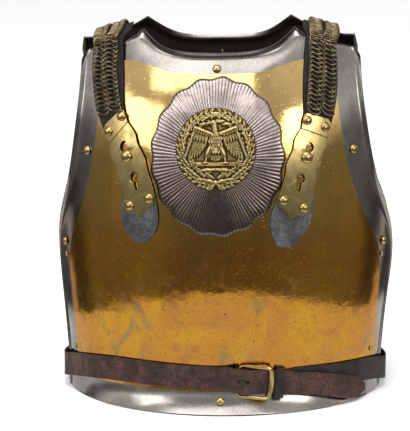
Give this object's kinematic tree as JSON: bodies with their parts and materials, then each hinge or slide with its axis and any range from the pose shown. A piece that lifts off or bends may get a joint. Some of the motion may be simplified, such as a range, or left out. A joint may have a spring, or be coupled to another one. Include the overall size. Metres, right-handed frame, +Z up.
{
  "type": "cuirass",
  "caption": "Brass-faced steel breastplate and backplate joined by chain-covered shoulder straps and a buckled waist belt, with a rayed plate, wreath and eagle on the breast.",
  "frame": {"origin": "centre of the whole piece's footprint, on the floor under its waist rims", "axes": "+Z up, front towards -Y, +X to a viewer's right (the wearer's left)"},
  "size_m": [0.3891, 0.2873, 0.4242],
  "materials": {
    "steel": "brushed, worn, greyed",
    "brass": "polished, dented, stained low down",
    "pale_brass": "polished, worn pale",
    "silver": "silvered and finely ribbed, brown tarnish",
    "gilt": "dull gilt casting",
    "chain_wire": "patinated wire links",
    "black_leather": "grey-black, dry and cracked",
    "red_leather": "reddish dark brown, cracked",
    "brown_leather": "dark grey-brown, dry"
  },
  "bodies": {
    "root": {"breastplate": "steel", "breast_facing": "brass", "backplate": "steel", "back_facing": "brass", "sun_plate": "silver", "emblem_wreath": "gilt", "emblem_eagle": "gilt", "neck_stud": "pale_brass", "foot_stud": "pale_brass", "back_neck_stud": "pale_brass", "back_foot_stud": "pale_brass", "hip_rivet_right": "pale_brass", "hip_rivet_left": "pale_brass", "arm_stud_right": "pale_brass", "armpit_stud_right": "pale_brass", "side_rivet_right": "pale_brass", "back_arm_stud_right": "pale_brass", "arm_stud_left": "pale_brass", "armpit_stud_left": "pale_brass", "side_rivet_left": "pale_brass", "back_arm_stud_left": "pale_brass", "strap_leather_right": "black_leather", "strap_chain_inner_right": "chain_wire", "strap_chain_outer_right": "chain_wire", "end_plate_right": "pale_brass", "button_right": "pale_brass", "plate_stud_right_1": "pale_brass", "plate_stud_right_2": "pale_brass", "plate_stud_right_3": "pale_brass", "plate_stud_right_4": "pale_brass", "strap_leather_left": "black_leather", "strap_chain_inner_left": "chain_wire", "strap_chain_outer_left": "chain_wire", "end_plate_left": "pale_brass", "button_left": "pale_brass", "plate_stud_left_1": "pale_brass", "plate_stud_left_2": "pale_brass", "plate_stud_left_3": "pale_brass", "plate_stud_left_4": "pale_brass", "belt_long_end": "red_leather", "belt_short_end": "brown_leather", "buckle_frame": "pale_brass", "buckle_prong": "steel", "belt_keeper": "brown_leather", "belt_rivet_right_1": "pale_brass", "belt_rivet_right_2": "pale_brass", "strap_rivet_right_1": "pale_brass", "strap_rivet_right_2": "pale_brass", "belt_rivet_left_1": "pale_brass", "belt_rivet_left_2": "pale_brass", "strap_rivet_left_1": "pale_brass", "strap_rivet_left_2": "pale_brass"}
  },
  "joints": []
}
